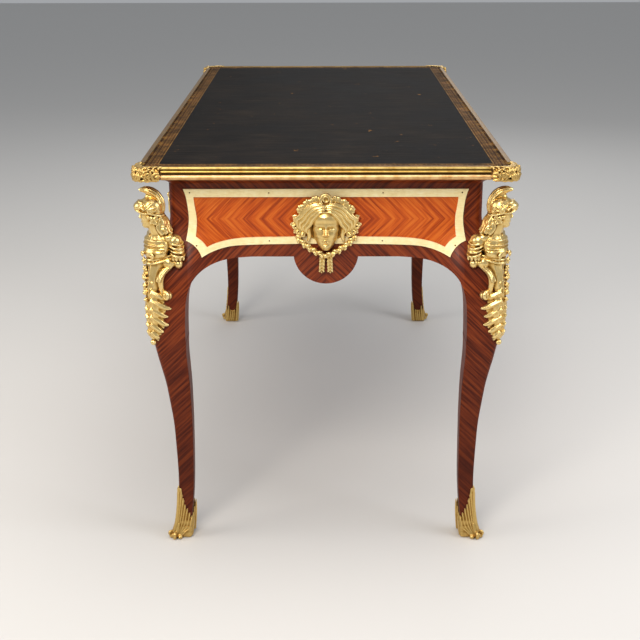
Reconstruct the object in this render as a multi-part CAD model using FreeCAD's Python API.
import FreeCAD, Part
import math
import os

# A flat-topped writing table with four cabriole legs, three frieze drawers and cast bronze mounts.
# X runs along the table, Y from the drawer side (-Y) to the back, Z up. The origin is on the floor,
# under the middle of the top. Sizes are in millimetres.

V = FreeCAD.Vector
ORIGIN = V(0, 0, 0)
UP = V(0, 0, 1)

# Overall size, over the cast mounts on the corners of the top.
TABLE_LENGTH = 1524.0
TABLE_DEPTH = 720.0
TABLE_HEIGHT = 780.0
HALF_LENGTH = TABLE_LENGTH / 2
HALF_DEPTH = TABLE_DEPTH / 2

# One overrun serves every cut that has to pass its piece.
OVERRUN = 40.0

# The top: board, leather, moulding and the cast mounts at its corners.
TOP_RISE = 26.0
UNDERSIDE = TABLE_HEIGHT - TOP_RISE
BOARD_THICKNESS = 21.5
LEATHER_THICKNESS = 1.5
MOULDING_WIDTH = 14.0
MOULDING_HEIGHT = 24.5
CORNER_PROUD = 9.0
CORNER_REACH = 58.0
CORNER_RADIUS = 27.0
CORNER_DROP = 3.5
CORNER_LIP = 9.0
CORNER_SOFTENING = 5.0
BOARD_HALF_LENGTH = HALF_LENGTH - CORNER_PROUD - MOULDING_WIDTH
BOARD_HALF_DEPTH = HALF_DEPTH - CORNER_PROUD - MOULDING_WIDTH
LEATHER_TOP = UNDERSIDE + BOARD_THICKNESS + LEATHER_THICKNESS

# The moulding's section, from its foot up: shares of its width and height. The torus, the lower
# bead and the upper bead are arcs through three of the places.
MOULDING_SHARES = {
    "torus": ((0.62, 0.0), (1.0, 0.22), (0.64, 0.43)),
    "groove": ((0.52, 0.46), (0.52, 0.54)),
    "lower_bead": ((0.62, 0.56), (0.78, 0.635), (0.62, 0.71)),
    "upper_bead": ((0.60, 0.82), (0.70, 0.91), (0.60, 1.0)),
}

# The carcass: its face stands inside the top's edge, and the leg posts end at the post inset.
FACE_INSET = 64.0
WALL = 22.0
POST_INSET = 98.0
BLEND_RUN = 92.0
COVE_HEIGHT = 17.0
COVE_REACH = 34.0
COVE_FOOT = UNDERSIDE - COVE_HEIGHT

# The arch from each leg into the apron, and the round drop in the middle of each end.
APRON_BOTTOM = 595.0
ARCH_INSET = 90.0
ARCH_RUN = 130.0
ARCH_RISE = 161.0
DROP_RADIUS = 62.0
DROP_CENTRE = 603.0
KNEEHOLE_TOP = 630.0
KNEEHOLE_HALF = 154.0
KNEEHOLE_STEP = 42.0

# The curve of the kneehole's step: share of its run, share of its rise.
STEP_SHARES = ((0.0, 1.0), (0.167, 0.889), (0.5, 0.5), (0.833, 0.111), (1.0, 0.0))

# Places along the blend from the flat of a wall to the leg's swelling.
BLEND_SHARES = (0.0, 0.25, 0.5, 0.75, 1.0)

# The tenons on the rails, and the mortises that they fill.
TENON_LENGTH = 14.0
TENON_THICKNESS = 8.0
TENON_SHOULDER = 6.0
TENON_FOOT = 22.0
TENON_HEAD = 20.0

# The legs: how far the foot stands above the floor, and the rounding of the outer corner.
SOLE = 4.0
KNEE_ROUND = 14.0
EDGE_ROUND = 3.0
NECK_SHARE = 0.901

# Leg levels: height share, outer face as a share of the face inset, inner face as a share of the
# post inset, and the rounding of the outer corner as a share of the knee rounding.
LEG_SHARES = (
    (0.0, 0.800, 0.835, 0.30),
    (0.048, 0.860, 0.870, 0.30),
    (0.097, 0.920, 0.908, 0.28),
    (0.167, 0.953, 0.940, 0.26),
    (0.273, 0.920, 0.955, 0.28),
    (0.328, 0.888, 0.960, 0.32),
    (0.395, 0.800, 0.957, 0.42),
    (0.461, 0.690, 0.945, 0.55),
    (0.508, 0.575, 0.925, 0.66),
    (0.555, 0.469, 0.918, 0.78),
    (0.595, 0.398, 0.939, 0.90),
    (0.641, 0.367, 0.975, 1.0),
    (0.683, 0.367, 1.015, 1.0),
    (0.741, 0.453, 1.061, 1.0),
    (0.775, 0.563, 1.061, 1.0),
    (0.808, 0.711, 1.061, 1.0),
    (0.841, 0.867, 1.061, 1.0),
    (0.875, 0.977, 1.061, 1.0),
    (NECK_SHARE, 1.0, 1.061, 1.0),
)
WALL_FIRST_LEVEL = 12

# The cove under the top: height share of the cove, reach share.
COVE_SHARES = ((0.0, 0.0), (0.30, 0.16), (0.62, 0.56), (0.88, 1.0))

# The arch: run share from the leg, rise share.
ARCH_SHARES = (
    (1.0, 1.0),
    (0.815, 0.990),
    (0.685, 0.979),
    (0.55, 0.962),
    (0.426, 0.935),
    (0.302, 0.889),
    (0.196, 0.823),
    (0.111, 0.733),
    (0.058, 0.621),
    (0.028, 0.51),
    (0.0115, 0.354),
    (0.003, 0.174),
    (0.0, 0.0),
)

# The bronze frame on each end, and the smaller ones on the drawers and the back.
FRAME_HALF_WIDTH = 268.0
FRAME_HEIGHT = 128.0
FRAME_TOP_GAP = 10.0
FRAME_PROUD = 3.5
FRAME_SIDE_MARGIN = 12.0
FRAME_SILL_MARGIN = 9.0
FRAME_HEADER_MARGIN = 6.0
FRAME_OUTER_SHARES = (
    ((1.0, 1.0), (0.979, 0.850), (0.970, 0.707), (0.966, 0.557), (0.972, 0.415), (0.987, 0.241)),
    ((0.987, 0.241), (0.938, 0.186), (0.902, 0.107), (0.877, 0.0)),
    ((0.877, 0.0), (0.777, 0.091), (0.675, 0.138), (0.540, 0.158), (0.408, 0.166), (0.151, 0.174)),
)
FRAME_INNER_SHARES = (
    ((0.930, 0.881), (0.920, 0.707), (0.911, 0.557), (0.913, 0.415), (0.919, 0.292)),
    ((0.919, 0.292), (0.883, 0.241), (0.842, 0.138)),
    ((0.842, 0.138), (0.781, 0.190), (0.713, 0.225), (0.611, 0.257), (0.475, 0.273), (0.204, 0.283)),
)
PIN_SHARES = ((0.955, 0.945), (0.913, 0.170), (0.400, 0.941), (0.400, 0.215))
PIN_RADIUS = 1.5
PIN_LENGTH = 9.0
PIN_PROUD = 0.4

# The drawers. The side sill is lower than the one over the kneehole.
SIDE_SILL = 618.0
CENTRE_SILL = 645.0
HEADER_THICKNESS = 16.0
HEADER_DEPTH = 60.0
HEADER_BOTTOM = UNDERSIDE - HEADER_THICKNESS
DIVIDER_INNER = 204.0
DIVIDER_THICKNESS = 22.0
DRAWER_GAP = 0.8
DRAWER_LIFT = 1.5
DRAWER_DEPTH = 430.0
DRAWER_SIDE = 10.0
DRAWER_SIDE_GAP = 2.0
DRAWER_SIDE_TOP = 3.0
DRAWER_BACK_TOP = 12.0
BOTTOM_THICKNESS = 6.0
BOTTOM_HEIGHT = 8.0
GROOVE_DEPTH = 5.0
RUNNER_WIDTH = 26.0
RUNNER_HEIGHT = 12.0
SLIDE_CLEARANCE = 0.3
KICKER_WIDTH = 40.0

# The screws that hold the top, driven up through the kickers and the front top rail.
SCREW_RADIUS = 2.2
SCREW_HEAD_RADIUS = 4.2
SCREW_HEAD = 2.5
SCREW_LENGTH = 30.0
SCREW_END_MARGIN = 70.0

# The locks, their bolts and the keyholes.
LOCK_WIDTH = 58.0
LOCK_HEIGHT = 48.0
LOCK_THICKNESS = 12.0
LOCK_TOP_GAP = 3.2
BOLT_WIDTH = 20.0
BOLT_THICKNESS = 5.0
BOLT_HEIGHT = 36.0
BOLT_THROW = 7.0
BOLT_CLEARANCE = 0.3
BOLT_TIP_GAP = 0.7
MORTISE_MARGIN = 1.0
KEYHOLE_RADIUS = 3.5
KEYHOLE_DEPTH = 40.0
ESCUTCHEON_THICKNESS = 3.0
ESCUTCHEON_RADIUS = 9.5
ESCUTCHEON_LEAF_RADIUS = 6.5
ESCUTCHEON_LEAF_REACH = 11.0
ESCUTCHEON_TIP_RADIUS = 3.0
ESCUTCHEON_TIP_REACH = 17.0

# The drop handles: two on each side drawer.
HANDLE_SPREAD = 110.0
HANDLE_PIVOT_DROP = 46.0
POST_SPREAD = 36.0
POST_RADIUS = 5.5
POST_LENGTH = 13.0
ROSETTE_RADIUS = 14.0
ROSETTE_THICKNESS = 3.0
PIVOT_OUT = 10.0
BAIL_RADIUS = 3.0
BAIL_CLEARANCE = 0.06
BAIL_PIN_INNER = 31.0
BAIL_PIN_OUTER = 45.0
BAIL_SHOULDER = 7.0
BAIL_DROP = 36.0
BAIL_CORNER = 18.0

# The cast shoe on each foot.
SABOT_WALL = 3.0
SABOT_TIP = 124.0
SABOT_VALLEY = 48.0
SABOT_BACK_TIP = 76.0
SABOT_TIP_WIDTH = 9.0
SABOT_BACK_WIDTH = 5.0
TOE_RADIUS = 11.0
TOE_WIDTH = 28.0
TOE_INSET = 58.0
SABOT_LEVELS = 4

# The mask in the middle of each end. Shares are of its half width and of its height.
MASK_HALF_WIDTH = 65.0
MASK_FOOT = 560.0
MASK_HEIGHT = 166.0
MASK_DEPTH = 34.0
MASK_SEAT = 1.5
FACE_RADIUS = 25.0
JAW_RADIUS = 19.0
FACE_SHARES = (0.585, 0.46)
HAIR_SHARES = (
    (0.0, 0.885, 0.26),
    (0.28, 0.865, 0.24),
    (0.52, 0.78, 0.27),
    (0.66, 0.66, 0.31),
    (0.71, 0.53, 0.27),
    (0.68, 0.42, 0.20),
    (0.40, 0.70, 0.30),
)
GARLAND_SHARES = (
    (0.76, 0.40, 0.12),
    (0.62, 0.33, 0.13),
    (0.44, 0.28, 0.13),
    (0.22, 0.24, 0.14),
    (0.0, 0.22, 0.15),
)
TASSEL_SHARES = ((0.09, 0.22, 0.06), (0.12, 0.13, 0.13), (0.13, 0.06, 0.11), (0.14, 0.015, 0.04))

# The helmeted bust and its bracket. Heights are shares of its height, insets are shares of the face
# inset along the corner's diagonal, and sides are shares of its half width.
BUST_FOOT = 430.0
BUST_HEIGHT = 313.0
BUST_HALF_WIDTH = 48.0
TORSO_SHARES = (
    (0.520, 0.65, 0.60, 0.36),
    (0.560, 0.64, 0.84, 0.46),
    (0.605, 0.64, 1.0, 0.50),
    (0.650, 0.65, 0.98, 0.48),
    (0.685, 0.65, 0.72, 0.42),
    (0.712, 0.64, 0.40, 0.34),
    (0.745, 0.61, 0.28, 0.28),
    (0.790, 0.57, 0.29, 0.29),
)
BRACKET_SHARES = (
    (0.035, 0.50, 0.14, 0.12),
    (0.100, 0.47, 0.24, 0.18),
    (0.180, 0.45, 0.34, 0.24),
    (0.270, 0.45, 0.44, 0.28),
    (0.350, 0.47, 0.56, 0.34),
    (0.430, 0.52, 0.64, 0.38),
    (0.500, 0.58, 0.72, 0.40),
    (0.535, 0.63, 0.56, 0.34),
)
HEAD_SHARES = ((0.08, 0.52, 0.862, 0.43), (0.10, 0.49, 0.826, 0.33), (0.02, 0.56, 0.888, 0.46))
CREST_SHARES = (
    (0.50, 0.42, 0.972, 0.06),
    (0.30, 0.46, 0.984, 0.13),
    (0.02, 0.55, 0.980, 0.17),
    (-0.20, 0.65, 0.952, 0.18),
    (-0.34, 0.71, 0.905, 0.18),
    (-0.40, 0.73, 0.850, 0.16),
    (-0.36, 0.72, 0.790, 0.11),
)
VISOR_SHARES = ((0.18, 0.46, 0.888, 0.26), (0.32, 0.35, 0.880, 0.18), (0.43, 0.29, 0.874, 0.06))
SCROLL_SHARES = ((0.60, 0.52, 0.500, 0.17), (0.44, 0.42, 0.345, 0.15))
SCROLL_DEPTH_SHARE = 1.5
LEAF_SHARES = (
    ((0.10, 0.45, 0.20, 0.16), (0.34, 0.52, 0.235, 0.05)),
    ((0.08, 0.47, 0.13, 0.13), (0.30, 0.54, 0.180, 0.04)),
)
BALL_SHARES = (0.0, 0.44, 0.024, 0.15)
EPAULETTE_SHARES = (0.80, 0.74, 0.630, 0.30)


def box(x0, x1, y0, y1, z0, z1):
    """A box between two corners."""
    return Part.makeBox(x1 - x0, y1 - y0, z1 - z0, V(x0, y0, z0))


def line(start, end):
    """A straight edge."""
    return Part.LineSegment(start, end).toShape()


def spline(points):
    """A smooth edge through its points."""
    curve = Part.BSplineCurve()
    curve.interpolate(points)
    return curve.toShape()


def prism(edges, direction):
    """A solid swept straight from the face inside a ring of edges."""
    wire = Part.Wire(Part.__sortEdges__(edges))
    return Part.Face(wire).extrude(direction)


def rod(start, direction, radius, length):
    """A round bar."""
    return Part.makeCylinder(radius, length, start, direction)


def joined(shapes):
    """One solid from touching or crossing ones."""
    whole = shapes[0].multiFuse(shapes[1:]) if len(shapes) > 1 else shapes[0]
    return whole.removeSplitter()


def as_group(shapes):
    """Separate solids in one node."""
    return Part.makeCompound(shapes)


def mirror_x(shape):
    """The same piece at the other end of the table."""
    return shape.mirror(ORIGIN, V(1, 0, 0))


def mirror_y(shape):
    """The same piece on the other long side."""
    return shape.mirror(ORIGIN, V(0, 1, 0))


def to_front(shape):
    """Turns a piece of the right end to the drawer side."""
    turned = shape.copy()
    turned.rotate(ORIGIN, UP, -90)
    return turned


def to_back(shape):
    """Turns a piece of the right end to the back."""
    turned = shape.copy()
    turned.rotate(ORIGIN, UP, 90)
    return turned


def level(share):
    """A height on the leg."""
    return SOLE + share * (UNDERSIDE - SOLE)


def leg_ring(z, outer, inner, corner_round):
    """The leg's outline at one height: a square with a well rounded outer corner."""
    e = EDGE_ROUND
    c = corner_round
    mid = math.sqrt(0.5)

    def point(p, q):
        return V(HALF_LENGTH - p, HALF_DEPTH - q, z)

    def arc(p0, q0, centre_p, centre_q, sign_p, sign_q, radius, p1, q1):
        middle = point(centre_p + sign_p * radius * mid, centre_q + sign_q * radius * mid)
        return Part.Arc(point(p0, q0), middle, point(p1, q1)).toShape()

    edges = [
        line(point(outer + c, outer), point(inner - e, outer)),
        arc(inner - e, outer, inner - e, outer + e, 1, -1, e, inner, outer + e),
        line(point(inner, outer + e), point(inner, inner - e)),
        arc(inner, inner - e, inner - e, inner - e, 1, 1, e, inner - e, inner),
        line(point(inner - e, inner), point(outer + e, inner)),
        arc(outer + e, inner, outer + e, inner - e, -1, 1, e, outer, inner - e),
        line(point(outer, inner - e), point(outer, outer + c)),
        arc(outer, outer + c, outer + c, outer + c, -1, -1, c, outer + c, outer),
    ]
    return Part.Wire(edges)


def leg_rings(grow):
    """The leg's outlines from the sole to the neck, grown by a wall."""
    rings = []
    for height_share, outer_share, inner_share, round_share in LEG_SHARES:
        outer = outer_share * FACE_INSET - grow
        inner = inner_share * POST_INSET + grow
        rings.append(leg_ring(level(height_share), outer, inner, round_share * KNEE_ROUND + grow))
    return rings


def cove_levels():
    """Heights and insets of the cove under the top."""
    rows = []
    for height_share, reach_share in COVE_SHARES:
        rows.append((COVE_FOOT + height_share * COVE_HEIGHT, FACE_INSET - reach_share * COVE_REACH))
    return rows


def arch_edge(half, x):
    """The arch's edge in the plane of an end, from the apron down to the leg."""
    points = []
    for run_share, rise_share in ARCH_SHARES:
        inset = ARCH_INSET + run_share * ARCH_RUN
        points.append(V(x, half - inset, APRON_BOTTOM - ARCH_RISE * (1 - rise_share)))
    return spline(points)


def arch_void(reach, half, step):
    """The space under one half of an apron, through the wall and the legs beside it."""
    x = reach - POST_INSET - OVERRUN
    foot = APRON_BOTTOM - ARCH_RISE
    edges = [arch_edge(half, x), line(V(x, half - ARCH_INSET, foot), V(x, 0, foot))]
    start = V(x, half - ARCH_INSET - ARCH_RUN, APRON_BOTTOM)
    if step > 0:
        bend = [V(x, KNEEHOLE_HALF + run * KNEEHOLE_STEP, APRON_BOTTOM + rise * step)
                for run, rise in STEP_SHARES]
        middle = V(x, 0, APRON_BOTTOM + step)
        edges += [line(V(x, 0, foot), middle), line(middle, bend[0]), spline(bend), line(bend[-1], start)]
    else:
        edges += [line(V(x, 0, foot), V(x, 0, APRON_BOTTOM)), line(V(x, 0, APRON_BOTTOM), start)]
    half_void = prism(edges, V(POST_INSET + 2 * OVERRUN, 0, 0))
    return joined([half_void, mirror_y(half_void)])


def wall_ring(reach, run, blend, proud):
    """The wall's section at one place along it: a bowed outer face, the cove and a flat inner face."""
    points = []
    for height_share, outer_share, inner_share, round_share in LEG_SHARES[WALL_FIRST_LEVEL:]:
        inset = FACE_INSET * (1 - blend * (1 - outer_share)) - proud
        points.append(V(reach - inset, run, level(height_share)))
    cove = [V(reach - inset + proud, run, z) for z, inset in cove_levels()]
    top_outer = V(cove[-1].x, run, UNDERSIDE)
    top_inner = V(reach - FACE_INSET - WALL, run, UNDERSIDE)
    foot_inner = V(top_inner.x, run, points[0].z)
    edges = [
        spline(points),
        line(points[-1], cove[0]),
        spline(cove),
        line(cove[-1], top_outer),
        line(top_outer, top_inner),
        line(top_inner, foot_inner),
        line(foot_inner, points[0]),
    ]
    return Part.Wire(edges)


def wall_blank(reach, half_run, proud, past):
    """A whole wall, flat in the middle and swelling towards the knees of the legs."""
    flat_half = half_run - BLEND_RUN
    middle = Part.Face(wall_ring(reach, -flat_half, 0, proud)).extrude(V(0, 2 * flat_half, 0))
    rings = []
    for share in BLEND_SHARES:
        blend = share * share * (3 - 2 * share)
        rings.append(wall_ring(reach, flat_half + share * BLEND_RUN, blend, proud))
    swelling = Part.makeLoft(rings, True, False)
    shapes = [middle, swelling, mirror_y(swelling)]
    if past > 0:
        tail = Part.Face(wall_ring(reach, half_run, 1, proud)).extrude(V(0, past, 0))
        shapes += [tail, mirror_y(tail)]
    return joined(shapes)


def tenon(reach, half_run, z0, z1):
    """The tenon at one end of a rail, in the frame of the right end."""
    x1 = reach - FACE_INSET - TENON_SHOULDER
    return box(x1 - TENON_THICKNESS, x1, half_run, half_run + TENON_LENGTH, z0, z1)


def leg_blank():
    """A leg with its post, before the arches and mortises are cut."""
    lower = Part.makeLoft(leg_rings(0), True, False)
    last = LEG_SHARES[-1]
    inner = last[2] * POST_INSET
    neck = leg_ring(level(last[0]), FACE_INSET, inner, KNEE_ROUND)
    post = Part.Face(neck).extrude(V(0, 0, COVE_FOOT - level(last[0])))
    rings = [leg_ring(z, inset, inner, KNEE_ROUND) for z, inset in cove_levels()]
    cove = Part.makeLoft(rings, True, False)
    land = Part.Face(rings[-1]).extrude(V(0, 0, UNDERSIDE - cove_levels()[-1][0]))
    return joined([lower, post, cove, land])


def build_leg():
    """The back right leg, cut to its arches and to the posts' inner faces."""
    leg = leg_blank()
    end_void = arch_void(HALF_LENGTH, HALF_DEPTH, 0)
    side_void = to_back(arch_void(HALF_DEPTH, HALF_LENGTH, 0))
    foot = APRON_BOTTOM - ARCH_RISE / 2
    behind_x = box(0, HALF_LENGTH - POST_INSET, 0, HALF_DEPTH, foot, TABLE_HEIGHT)
    behind_y = box(0, HALF_LENGTH, 0, HALF_DEPTH - POST_INSET, foot, TABLE_HEIGHT)
    leg = leg.cut([end_void, side_void, behind_x, behind_y])
    return leg.removeSplitter()


def end_tenons():
    """Both tenons of the right end rail."""
    one = tenon(HALF_LENGTH, HALF_DEPTH - POST_INSET, APRON_BOTTOM - TENON_FOOT, COVE_FOOT - TENON_HEAD)
    return [one, mirror_y(one)]


def side_tenons():
    """Both tenons of the back rail, turned to the back."""
    one = tenon(HALF_DEPTH, HALF_LENGTH - POST_INSET, APRON_BOTTOM - TENON_FOOT, COVE_FOOT - TENON_HEAD)
    return [to_back(one), to_back(mirror_y(one))]


def sill_tenons():
    """Both tenons of the front bottom rail, turned to the front."""
    foot, head = APRON_BOTTOM - TENON_FOOT, SIDE_SILL - TENON_SHOULDER
    one = tenon(HALF_DEPTH, HALF_LENGTH - POST_INSET, foot, head)
    return [to_front(one), to_front(mirror_y(one))]


def build_end_rail():
    """The right end rail with its arches, its round drop and its tenons."""
    rail = wall_blank(HALF_LENGTH, HALF_DEPTH - POST_INSET, 0, 0)
    rail = rail.cut(arch_void(HALF_LENGTH, HALF_DEPTH, 0))
    x = HALF_LENGTH - FACE_INSET - WALL
    drop = rod(V(x, 0, DROP_CENTRE), V(1, 0, 0), DROP_RADIUS, WALL)
    drop = drop.cut(box(x - OVERRUN, x + WALL + OVERRUN, -DROP_RADIUS, DROP_RADIUS, DROP_CENTRE, TABLE_HEIGHT))
    return joined([rail, drop] + end_tenons())


def build_long_blank():
    """A long wall with the kneehole outline, in the frame of the right end."""
    blank = wall_blank(HALF_DEPTH, HALF_LENGTH - POST_INSET, 0, 0)
    return blank.cut(arch_void(HALF_DEPTH, HALF_LENGTH, KNEEHOLE_TOP - APRON_BOTTOM))


def frame_outline(half_width, foot, height, shares):
    """The closed outline of a frame, in the plane x = 0 of the right end."""
    edges = []
    for side in (1, -1):
        last = None
        for stretch in shares:
            points = [V(0, side * a * half_width, foot + b * height) for a, b in stretch]
            edges.append(spline(points))
            last = points[-1]
        first = V(0, side * shares[0][0][0] * half_width, foot + shares[0][0][1] * height)
        edges.append(line(V(0, 0, first.z), first))
        edges.append(line(last, V(0, 0, last.z)))
    return edges


def frame_prism(reach, half_width, foot, height):
    """A frame's outline swept through the wall."""
    way = V(reach + OVERRUN, 0, 0)
    outer = prism(frame_outline(half_width, foot, height, FRAME_OUTER_SHARES), way)
    inner = prism(frame_outline(half_width, foot, height, FRAME_INNER_SHARES), way)
    return outer.cut(inner)


def frame_pins(face, half_width, foot, height, centre):
    """The small pins of one frame, in the frame of the right end."""
    pins = []
    for side in (1, -1):
        for across, up in PIN_SHARES:
            start = V(face + FRAME_PROUD + PIN_PROUD, centre + side * across * half_width, foot + up * height)
            pins.append(rod(start, V(-1, 0, 0), PIN_RADIUS, PIN_LENGTH))
    return pins


def moulding_section(x, z):
    """The edge moulding's section: a torus, a groove, a bead, a flat and an upper bead."""
    w = MOULDING_WIDTH
    h = MOULDING_HEIGHT

    def at(out_share, up_share):
        return V(x + out_share * w, 0, z + up_share * h)

    edges = []
    last = at(0, 0)
    for shares in MOULDING_SHARES.values():
        points = [at(*share) for share in shares]
        edges.append(line(last, points[0]))
        bowed = len(points) > 2
        edges.append(Part.Arc(*points).toShape() if bowed else line(*points))
        last = points[-1]
    edges += [line(last, at(0, 1)), line(at(0, 1), at(0, 0))]
    return Part.Face(Part.Wire(edges))


def build_mouldings():
    """The four straight lengths of the edge moulding."""
    end = moulding_section(BOARD_HALF_LENGTH, UNDERSIDE)
    end.translate(V(0, -(HALF_DEPTH - CORNER_REACH), 0))
    end = end.extrude(V(0, 2 * (HALF_DEPTH - CORNER_REACH), 0))
    side = moulding_section(BOARD_HALF_DEPTH, UNDERSIDE)
    side.translate(V(0, -(HALF_LENGTH - CORNER_REACH), 0))
    side = to_back(side.extrude(V(0, 2 * (HALF_LENGTH - CORNER_REACH), 0)))
    return as_group([end, mirror_x(end), side, mirror_y(side)])


def build_corner_mount():
    """The cast mount that wraps the back right corner of the top."""
    x1, y1, r = HALF_LENGTH, HALF_DEPTH, CORNER_RADIUS
    x0, y0 = x1 - CORNER_REACH, y1 - CORNER_REACH
    z0 = UNDERSIDE - CORNER_DROP
    bend = math.sqrt(0.5) * r
    middle = V(x1 - r + bend, y1 - r + bend, z0)
    edges = [
        line(V(x0, y0, z0), V(x1, y0, z0)),
        line(V(x1, y0, z0), V(x1, y1 - r, z0)),
        Part.Arc(V(x1, y1 - r, z0), middle, V(x1 - r, y1, z0)).toShape(),
        line(V(x1 - r, y1, z0), V(x0, y1, z0)),
        line(V(x0, y1, z0), V(x0, y0, z0)),
    ]
    block = Part.Face(Part.Wire(edges)).extrude(V(0, 0, TABLE_HEIGHT - z0))
    rim = [e for e in block.Edges if on_outer_rim(e, x0, y0)]
    block = block.makeFillet(CORNER_SOFTENING, rim)
    board = box(0, BOARD_HALF_LENGTH, 0, BOARD_HALF_DEPTH, z0 - OVERRUN, LEATHER_TOP)
    lip_x, lip_y = BOARD_HALF_LENGTH - CORNER_LIP, BOARD_HALF_DEPTH - CORNER_LIP
    inside = box(0, lip_x, 0, lip_y, z0 - OVERRUN, TABLE_HEIGHT + OVERRUN)
    return block.cut([board, inside])


def on_outer_rim(edge, x0, y0):
    """True for the top and bottom edges on the two outer sides of a corner mount."""
    level_edge = abs(edge.Vertexes[0].Z - edge.Vertexes[-1].Z) < edge.Length / 2
    centre = edge.CenterOfMass
    return level_edge and centre.x > x0 + CORNER_LIP and centre.y > y0 + CORNER_LIP


def corner_point(side, inset, z):
    """A point near the back right corner: inset along the diagonal, side towards the long side."""
    across = side * math.sqrt(0.5)
    return V(HALF_LENGTH - inset - across, HALF_DEPTH - inset + across, z)


def ellipse_ring(side, inset, z, across, deep):
    """A level ellipse at the corner, its long axis across the diagonal."""
    centre = corner_point(side, inset, z)
    oval = Part.Ellipse(ORIGIN, max(across, deep), min(across, deep))
    ring = Part.Wire(oval.toShape())
    ring.rotate(ORIGIN, UP, 135 if across >= deep else 45)
    ring.translate(centre)
    return ring


def round_ring(centre, radius, way):
    """A circle square to a direction."""
    return Part.Wire(Part.Circle(centre, way, radius).toShape())


def horn(centres, radii):
    """A smooth tapering form through circles along a bent line."""
    rings = []
    for i, centre in enumerate(centres):
        before = centres[max(i - 1, 0)]
        after = centres[min(i + 1, len(centres) - 1)]
        way = after.sub(before)
        rings.append(round_ring(centre, radii[i], way))
    return Part.makeLoft(rings, True, False)


def bust_place(shares):
    """A point of the bust and a radius there, from its shares."""
    side, inset, height, radius = shares
    centre = corner_point(side * BUST_HALF_WIDTH, inset * FACE_INSET, BUST_FOOT + height * BUST_HEIGHT)
    return centre, radius * BUST_HALF_WIDTH


def bust_horn(rows):
    """A tapering form of the bust from a table of shares."""
    places = [bust_place(row) for row in rows]
    return horn([p for p, r in places], [r for p, r in places])


def oval_column(rows):
    """A column of level ellipses from a table of shares."""
    rings = []
    for height, inset, across, deep in rows:
        z = BUST_FOOT + height * BUST_HEIGHT
        rings.append(ellipse_ring(0, inset * FACE_INSET, z, across * BUST_HALF_WIDTH, deep * BUST_HALF_WIDTH))
    return Part.makeLoft(rings, True, False)


def build_bust(leg):
    """The helmeted bust on its scrolled bracket, for the back right corner."""
    shapes = [oval_column(TORSO_SHARES), oval_column(BRACKET_SHARES)]
    for row in HEAD_SHARES:
        centre, radius = bust_place(row)
        shapes.append(Part.makeSphere(radius, centre))
    shapes += [bust_horn(CREST_SHARES), bust_horn(VISOR_SHARES)]
    for side in (1, -1):
        across, inset, height, radius = EPAULETTE_SHARES
        centre, size = bust_place((side * across, inset, height, radius))
        shapes.append(Part.makeSphere(size, centre))
        for across, inset, height, radius in SCROLL_SHARES:
            centre, size = bust_place((side * across, inset, height, radius))
            start = corner_point(side * across * BUST_HALF_WIDTH, inset * FACE_INSET + size / 2, centre.z)
            shapes.append(rod(start, V(1, 1, 0), size, SCROLL_DEPTH_SHARE * size))
        for rows in LEAF_SHARES:
            shapes.append(bust_horn([(side * row[0],) + row[1:] for row in rows]))
    centre, size = bust_place(BALL_SHARES)
    shapes.append(Part.makeSphere(size, centre))
    return joined(shapes).cut(leg)


def build_sabot(leg):
    """The cast shoe on the back right foot, with leaf tips and a scrolled toe."""
    rings = []
    levels = LEG_SHARES[:SABOT_LEVELS]
    for height_share, outer_share, inner_share, round_share in levels:
        outer = outer_share * FACE_INSET - SABOT_WALL
        inner = inner_share * POST_INSET + SABOT_WALL
        z = SABOT_TIP * height_share / levels[-1][0]
        rings.append(leg_ring(z, outer, inner, round_share * KNEE_ROUND + SABOT_WALL))
    shell = Part.makeLoft(rings, True, False)
    low = levels[-1][1] * FACE_INSET - SABOT_WALL
    far = levels[-2][2] * POST_INSET + SABOT_WALL
    cuts = [leaf_cut(low, far), leaf_cut_other(low, far)]
    shell = shell.cut(cuts)
    way = V(-1, 1, 0)
    start = corner_point(-TOE_WIDTH / 2, TOE_INSET, TOE_RADIUS)
    toe = rod(start, way, TOE_RADIUS, TOE_WIDTH)
    return joined([shell, toe]).cut(leg)


def leaf_points(low, far):
    """The leaf edge of the shoe, as insets and heights."""
    return (
        (low + SABOT_TIP_WIDTH, SABOT_TIP + OVERRUN),
        (low + SABOT_TIP_WIDTH, SABOT_TIP - SABOT_TIP_WIDTH),
        (low + 2 * SABOT_TIP_WIDTH, SABOT_BACK_TIP),
        (far - 2 * SABOT_BACK_WIDTH, SABOT_VALLEY),
        (far - SABOT_BACK_WIDTH, SABOT_BACK_TIP),
        (far - SABOT_BACK_WIDTH + OVERRUN, SABOT_BACK_TIP),
        (far - SABOT_BACK_WIDTH + OVERRUN, SABOT_TIP + OVERRUN),
    )


def leaf_cut(low, far):
    """What lies above the leaf edge, seen from the end."""
    x = HALF_LENGTH - POST_INSET - OVERRUN
    points = [V(x, HALF_DEPTH - inset, z) for inset, z in leaf_points(low, far)]
    return Part.Face(Part.makePolygon(points + points[:1])).extrude(V(POST_INSET + OVERRUN, 0, 0))


def leaf_cut_other(low, far):
    """What lies above the leaf edge, seen from the long side."""
    y = HALF_DEPTH - POST_INSET - OVERRUN
    points = [V(HALF_LENGTH - inset, y, z) for inset, z in leaf_points(low, far)]
    return Part.Face(Part.makePolygon(points + points[:1])).extrude(V(0, POST_INSET + OVERRUN, 0))


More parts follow.
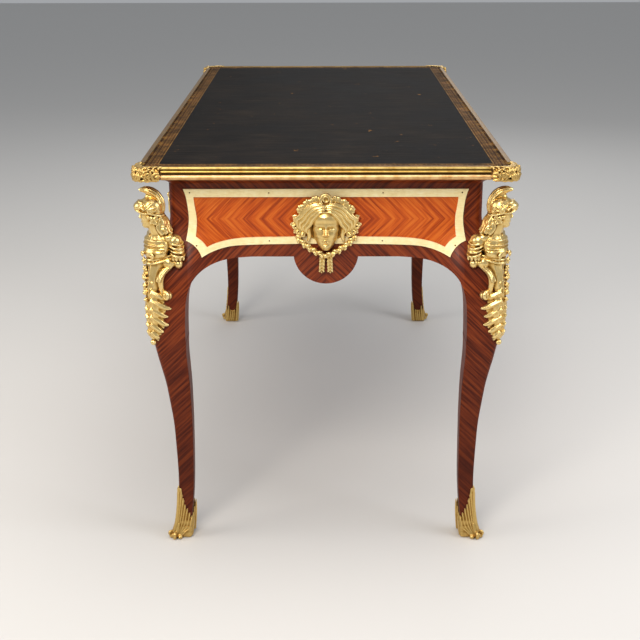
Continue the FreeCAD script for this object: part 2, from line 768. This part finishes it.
def build_mask(frame):
    """The mask on the right end: a face in a ring of hair, over a garland with two tassels."""
    face_x = HALF_LENGTH - FACE_INSET

    def place(across, up, radius):
        centre = V(face_x + MASK_SEAT, across * MASK_HALF_WIDTH, MASK_FOOT + up * MASK_HEIGHT)
        return Part.makeSphere(radius * MASK_HALF_WIDTH, centre)

    face_up, jaw_up = FACE_SHARES
    brow = V(face_x + MASK_DEPTH - FACE_RADIUS, 0, MASK_FOOT + face_up * MASK_HEIGHT)
    jaw = V(face_x + MASK_DEPTH - FACE_RADIUS, 0, MASK_FOOT + jaw_up * MASK_HEIGHT)
    shapes = [Part.makeSphere(FACE_RADIUS, brow), Part.makeSphere(JAW_RADIUS, jaw)]
    for across, up, radius in HAIR_SHARES + GARLAND_SHARES:
        shapes.append(place(across, up, radius))
        if across > 0:
            shapes.append(place(-across, up, radius))
    for side in (1, -1):
        rows = [V(face_x + FRAME_PROUD, side * a * MASK_HALF_WIDTH, MASK_FOOT + b * MASK_HEIGHT)
                for a, b, r in TASSEL_SHARES]
        shapes.append(horn(rows, [r * MASK_HALF_WIDTH for a, b, r in TASSEL_SHARES]))
    behind = box(face_x - OVERRUN, face_x, -HALF_DEPTH, HALF_DEPTH, APRON_BOTTOM - OVERRUN, TABLE_HEIGHT)
    whole = joined([shape.cut(behind) for shape in shapes])
    return whole.cut(frame)


def drawer_spans():
    """Name, left, right, sill and handle side of each drawer."""
    outer = HALF_LENGTH - POST_INSET
    inner = DIVIDER_INNER + DIVIDER_THICKNESS
    return (
        ("left", -outer, -inner, SIDE_SILL),
        ("centre", -DIVIDER_INNER, DIVIDER_INNER, CENTRE_SILL),
        ("right", inner, outer, SIDE_SILL),
    )


FRONT_FACE = -(HALF_DEPTH - FACE_INSET)
FRONT_INNER = FRONT_FACE + WALL
BACK_INNER = -FRONT_INNER


def lock_box(centre):
    """The lock case behind a drawer front."""
    top = HEADER_BOTTOM - DRAWER_GAP - LOCK_TOP_GAP
    half = LOCK_WIDTH / 2
    return box(centre - half, centre + half, FRONT_INNER, FRONT_INNER + LOCK_THICKNESS, top - LOCK_HEIGHT, top)


def bolt_box(centre, grow, rise):
    """The lock bolt, grown on its sides for its slot, and raised."""
    top = HEADER_BOTTOM - DRAWER_GAP - BOLT_TIP_GAP
    half = BOLT_WIDTH / 2 + grow
    middle = FRONT_INNER + LOCK_THICKNESS / 2
    deep = BOLT_THICKNESS / 2 + grow
    foot = top - BOLT_HEIGHT - grow
    return box(centre - half, centre + half, middle - deep, middle + deep, foot, top + rise)


def keyhole(centre):
    """The hole for the key through the front and its escutcheon."""
    start = V(centre, FRONT_FACE - OVERRUN, HEADER_BOTTOM - KEYHOLE_DEPTH)
    return rod(start, V(0, 1, 0), KEYHOLE_RADIUS, OVERRUN + WALL)


def build_escutcheon(centre):
    """A small cartouche with a hole for the key."""
    z = HEADER_BOTTOM - KEYHOLE_DEPTH
    y = FRONT_FACE - ESCUTCHEON_THICKNESS
    shapes = [rod(V(centre, y, z), V(0, 1, 0), ESCUTCHEON_RADIUS, ESCUTCHEON_THICKNESS)]
    for up in (1, -1):
        leaf = V(centre, y, z + up * ESCUTCHEON_LEAF_REACH)
        tip = V(centre, y, z + up * ESCUTCHEON_TIP_REACH)
        shapes.append(rod(leaf, V(0, 1, 0), ESCUTCHEON_LEAF_RADIUS, ESCUTCHEON_THICKNESS))
        shapes.append(rod(tip, V(0, 1, 0), ESCUTCHEON_TIP_RADIUS, ESCUTCHEON_THICKNESS))
    return joined(shapes).cut(keyhole(centre))


def build_posts(x, z):
    """Two rosettes with the posts that carry one drop handle."""
    shapes = []
    for side in (1, -1):
        start = V(x + side * POST_SPREAD, FRONT_FACE, z)
        rosette = rod(start, V(0, -1, 0), ROSETTE_RADIUS, ROSETTE_THICKNESS)
        post = rod(start, V(0, -1, 0), POST_RADIUS, ROSETTE_THICKNESS + POST_LENGTH)
        hole_start = V(x + side * POST_SPREAD - ROSETTE_RADIUS, FRONT_FACE - PIVOT_OUT, z)
        hole = rod(hole_start, V(1, 0, 0), BAIL_RADIUS + BAIL_CLEARANCE, 2 * ROSETTE_RADIUS)
        shapes.append(joined([rosette, post]).cut(hole))
    return shapes


def build_bail(x, z):
    """A drop handle: a bent rod whose ends turn inward into the posts."""
    y = FRONT_FACE - PIVOT_OUT
    s, c, d = BAIL_SHOULDER, BAIL_CORNER, BAIL_DROP
    side = BAIL_PIN_OUTER + s
    mid = math.sqrt(0.5)

    def half_path(sign):
        def at(px, pz):
            return V(x + sign * px, y, z + pz)
        shoulder = Part.Arc(at(BAIL_PIN_OUTER, 0), at(BAIL_PIN_OUTER + s * mid, s * mid - s), at(side, -s))
        corner_middle = at(side - c + c * mid, c - d - c * mid)
        corner = Part.Arc(at(side, c - d), corner_middle, at(side - c, -d))
        return [
            line(at(BAIL_PIN_INNER, 0), at(BAIL_PIN_OUTER, 0)),
            shoulder.toShape(),
            line(at(side, -s), at(side, c - d)),
            corner.toShape(),
            line(at(side - c, -d), at(0, -d)),
        ]

    right = half_path(1)
    left = half_path(-1)
    path = Part.Wire(right + left[::-1])
    ring = round_ring(V(x + BAIL_PIN_INNER, y, z), BAIL_RADIUS, V(1, 0, 0))
    return path.makePipeShell([ring], True, True)


def drawer_parts(name, left, right, sill, blank, frame_blank, nodes):
    """One drawer: front, box, bottom, lock, bolt, escutcheon and frame."""
    centre = (left + right) / 2
    top = HEADER_BOTTOM - DRAWER_GAP
    near, far = FRONT_FACE - OVERRUN, FRONT_INNER
    front = blank.common(box(left + DRAWER_GAP, right - DRAWER_GAP, near, far, sill + DRAWER_GAP, top))
    x0, x1 = left + DRAWER_SIDE_GAP, right - DRAWER_SIDE_GAP
    foot, back = sill + DRAWER_LIFT, FRONT_INNER + DRAWER_DEPTH
    side_top = top - DRAWER_SIDE_TOP
    floor = foot + BOTTOM_HEIGHT
    board = box(x0 + GROOVE_DEPTH, x1 - GROOVE_DEPTH, FRONT_INNER - GROOVE_DEPTH, back,
                floor, floor + BOTTOM_THICKNESS)
    left_side = box(x0, x0 + DRAWER_SIDE, FRONT_INNER, back, foot, side_top).cut(board)
    right_side = box(x1 - DRAWER_SIDE, x1, FRONT_INNER, back, foot, side_top).cut(board)
    back_board = box(x0 + DRAWER_SIDE, x1 - DRAWER_SIDE, back - DRAWER_SIDE, back,
                     floor + BOTTOM_THICKNESS, side_top - DRAWER_BACK_TOP)
    half = (right - left) / 2 - FRAME_SIDE_MARGIN
    frame_foot = sill + FRAME_SILL_MARGIN
    height = top - FRAME_HEADER_MARGIN - frame_foot
    frame = to_front(frame_prism(HALF_DEPTH, half, frame_foot, height))
    frame.translate(V(centre, 0, 0))
    nodes["drawer_front_" + name] = front.cut([board, keyhole(centre)])
    nodes["drawer_box_" + name] = as_group([left_side, right_side, back_board])
    nodes["drawer_bottom_" + name] = board
    nodes["drawer_frame_" + name] = frame.common(frame_blank).cut(blank)
    nodes["escutcheon_" + name] = build_escutcheon(centre)
    nodes["lock_case_" + name] = lock_box(centre).cut(bolt_box(centre, BOLT_CLEARANCE, OVERRUN))
    nodes["lock_bolt_" + name] = bolt_box(centre, 0, 0)


def handle_places(left, right):
    """The middles of the two drop handles of a side drawer."""
    centre = (left + right) / 2
    z = HEADER_BOTTOM - HANDLE_PIVOT_DROP
    return ((centre - HANDLE_SPREAD, z), (centre + HANDLE_SPREAD, z))


def build_guides():
    """Runners under the drawer sides, and kickers above the drawers."""
    runners = []
    kickers = []
    for name, left, right, sill in drawer_spans():
        top = sill + DRAWER_LIFT - SLIDE_CLEARANCE
        for x in (left, right - RUNNER_WIDTH):
            runners.append(box(x, x + RUNNER_WIDTH, FRONT_INNER, BACK_INNER, top - RUNNER_HEIGHT, top))
        middle = (left + right) / 2
        near = FRONT_FACE + HEADER_DEPTH
        kickers.append(box(middle - KICKER_WIDTH / 2, middle + KICKER_WIDTH / 2, near, BACK_INNER,
                           HEADER_BOTTOM, UNDERSIDE))
    return runners, kickers


def screw(x, y):
    """A screw driven up into the top board."""
    head = rod(V(x, y, HEADER_BOTTOM), UP, SCREW_HEAD_RADIUS, SCREW_HEAD)
    return joined([head, rod(V(x, y, HEADER_BOTTOM), UP, SCREW_RADIUS, SCREW_LENGTH)])


def build_screws():
    """Two screws in each kicker and three in the front top rail."""
    screws = []
    rail_y = FRONT_FACE + HEADER_DEPTH - KICKER_WIDTH / 2
    for name, left, right, sill in drawer_spans():
        middle = (left + right) / 2
        for y in (FRONT_FACE + HEADER_DEPTH + SCREW_END_MARGIN, BACK_INNER - SCREW_END_MARGIN):
            screws.append(screw(middle, y))
        screws.append(screw(middle, rail_y))
    return screws


def build_dividers():
    """The two boards between the drawers, with their upper edges against the top."""
    x0, x1 = DIVIDER_INNER, DIVIDER_INNER + DIVIDER_THICKNESS
    lower = box(x0, x1, FRONT_FACE, BACK_INNER, SIDE_SILL, HEADER_BOTTOM)
    upper = box(x0, x1, FRONT_FACE + HEADER_DEPTH, BACK_INNER, HEADER_BOTTOM, UNDERSIDE)
    one = joined([lower, upper])
    return [one, mirror_x(one)]


def build_front_rails(blank):
    """The top rail above the drawers and the bottom rail below them."""
    outer = HALF_LENGTH - POST_INSET
    near = FRONT_FACE - OVERRUN
    header = blank.common(box(-outer, outer, near, FRONT_INNER, HEADER_BOTTOM, UNDERSIDE))
    board = box(-outer, outer, FRONT_INNER, FRONT_FACE + HEADER_DEPTH, HEADER_BOTTOM, UNDERSIDE)
    header = joined([header, board])
    openings = [box(-outer - OVERRUN, outer + OVERRUN, near, FRONT_INNER + OVERRUN, CENTRE_SILL, TABLE_HEIGHT)]
    for side in (1, -1):
        a, b = sorted((side * DIVIDER_INNER, side * (outer + OVERRUN)))
        openings.append(box(a, b, near, FRONT_INNER + OVERRUN, SIDE_SILL, TABLE_HEIGHT))
    sill = joined([blank.cut(openings)] + sill_tenons())
    return header, sill


def build_top():
    """The board and the leather that covers it."""
    x, y = BOARD_HALF_LENGTH, BOARD_HALF_DEPTH
    board = box(-x, x, -y, y, UNDERSIDE, UNDERSIDE + BOARD_THICKNESS)
    leather = box(-x, x, -y, y, UNDERSIDE + BOARD_THICKNESS, LEATHER_TOP)
    return board, leather


def end_nodes(nodes, leg):
    """The rails, frames, pins and masks of both ends. Returns the pins."""
    rail = build_end_rail()
    proud = wall_blank(HALF_LENGTH, HALF_DEPTH - POST_INSET, FRAME_PROUD, POST_INSET - FACE_INSET)
    foot = COVE_FOOT - FRAME_TOP_GAP - FRAME_HEIGHT
    prism_shape = frame_prism(HALF_LENGTH, FRAME_HALF_WIDTH, foot, FRAME_HEIGHT)
    frame = prism_shape.common(proud).cut([rail, leg, mirror_y(leg)])
    pins = frame_pins(HALF_LENGTH - FACE_INSET, FRAME_HALF_WIDTH, foot, FRAME_HEIGHT, 0)
    mask = build_mask(frame)
    nodes["end_mask_right"] = mask
    nodes["end_mask_left"] = mirror_x(mask)
    frame = frame.cut(pins)
    rail = rail.cut(pins)
    nodes["end_frame_right"] = frame
    nodes["end_frame_left"] = mirror_x(frame)
    nodes["end_rail_right"] = rail
    nodes["end_rail_left"] = mirror_x(rail)
    return pins


def long_side_nodes(nodes, blank_raw):
    """The back rail with its frames, the front rails and the drawers."""
    proud_raw = wall_blank(HALF_DEPTH, HALF_LENGTH - POST_INSET, FRAME_PROUD, 0)
    back = to_back(blank_raw)
    proud_back = to_back(proud_raw)
    frames = []
    for name, left, right, sill in drawer_spans():
        half = (right - left) / 2 - FRAME_SIDE_MARGIN
        foot = sill + FRAME_SILL_MARGIN
        height = HEADER_BOTTOM - DRAWER_GAP - FRAME_HEADER_MARGIN - foot
        one = to_back(frame_prism(HALF_DEPTH, half, foot, height))
        one.translate(V((left + right) / 2, 0, 0))
        frames.append(one.common(proud_back).cut(back))
    nodes["back_frames"] = as_group(frames)
    nodes["back_rail"] = joined([back] + side_tenons())
    front = to_front(blank_raw)
    proud_front = to_front(proud_raw)
    header, sill_rail = build_front_rails(front)
    nodes["front_bottom_rail"] = sill_rail
    bolt_ways = []
    for name, left, right, sill in drawer_spans():
        drawer_parts(name, left, right, sill, front, proud_front, nodes)
        centre = (left + right) / 2
        bolt_ways.append(bolt_box(centre, MORTISE_MARGIN, BOLT_THROW + MORTISE_MARGIN))
    nodes["front_top_rail"] = header.cut(bolt_ways)
    for name, left, right, sill in drawer_spans():
        if name == "centre":
            continue
        posts = []
        for label, place in zip(("a", "b"), handle_places(left, right)):
            posts += build_posts(*place)
            nodes["drop_handle_" + name + "_" + label] = build_bail(*place)
        nodes["handle_posts_" + name] = as_group(posts)


def corner_nodes(nodes, leg):
    """Legs, busts, shoes and top mounts at the four corners."""
    cut_leg = leg.cut(end_tenons() + side_tenons())
    sides = [mirror_y(tenon_shape) for tenon_shape in sill_tenons()]
    front_leg = leg.cut(end_tenons() + sides)
    pieces = {
        "corner_bust": build_bust(leg),
        "sabot": build_sabot(leg),
        "top_corner_mount": build_corner_mount(),
    }
    for kind, shape in pieces.items():
        nodes[kind + "_back_right"] = shape
        nodes[kind + "_back_left"] = mirror_x(shape)
        nodes[kind + "_front_right"] = mirror_y(shape)
        nodes[kind + "_front_left"] = mirror_x(mirror_y(shape))
    nodes["leg_back_right"] = cut_leg
    nodes["leg_back_left"] = mirror_x(cut_leg)
    nodes["leg_front_right"] = mirror_y(front_leg)
    nodes["leg_front_left"] = mirror_x(mirror_y(front_leg))


def build_all():
    """Every node of the table."""
    nodes = {}
    leg = build_leg()
    pins = end_nodes(nodes, leg)
    blank_raw = build_long_blank()
    long_side_nodes(nodes, blank_raw)
    corner_nodes(nodes, leg)
    all_pins = pins + [mirror_x(pin) for pin in pins]
    nodes["frame_pins"] = as_group(all_pins)
    runners, kickers = build_guides()
    screws = build_screws()
    board, leather = build_top()
    nodes["top_board"] = board.cut(screws)
    nodes["leather_writing_surface"] = leather
    nodes["edge_moulding"] = build_mouldings()
    nodes["drawer_dividers"] = as_group(build_dividers())
    nodes["drawer_guides"] = as_group(runners + [kicker.cut(screws) for kicker in kickers])
    nodes["top_screws"] = as_group(screws)
    nodes["front_top_rail"] = nodes["front_top_rail"].cut(screws)
    return nodes


def main():
    """Writes one file for each node."""
    os.makedirs("parts", exist_ok=True)
    nodes = build_all()
    for name in sorted(nodes):
        nodes[name].exportStep("parts/" + name + ".step")
    print(len(nodes), "nodes")


main()
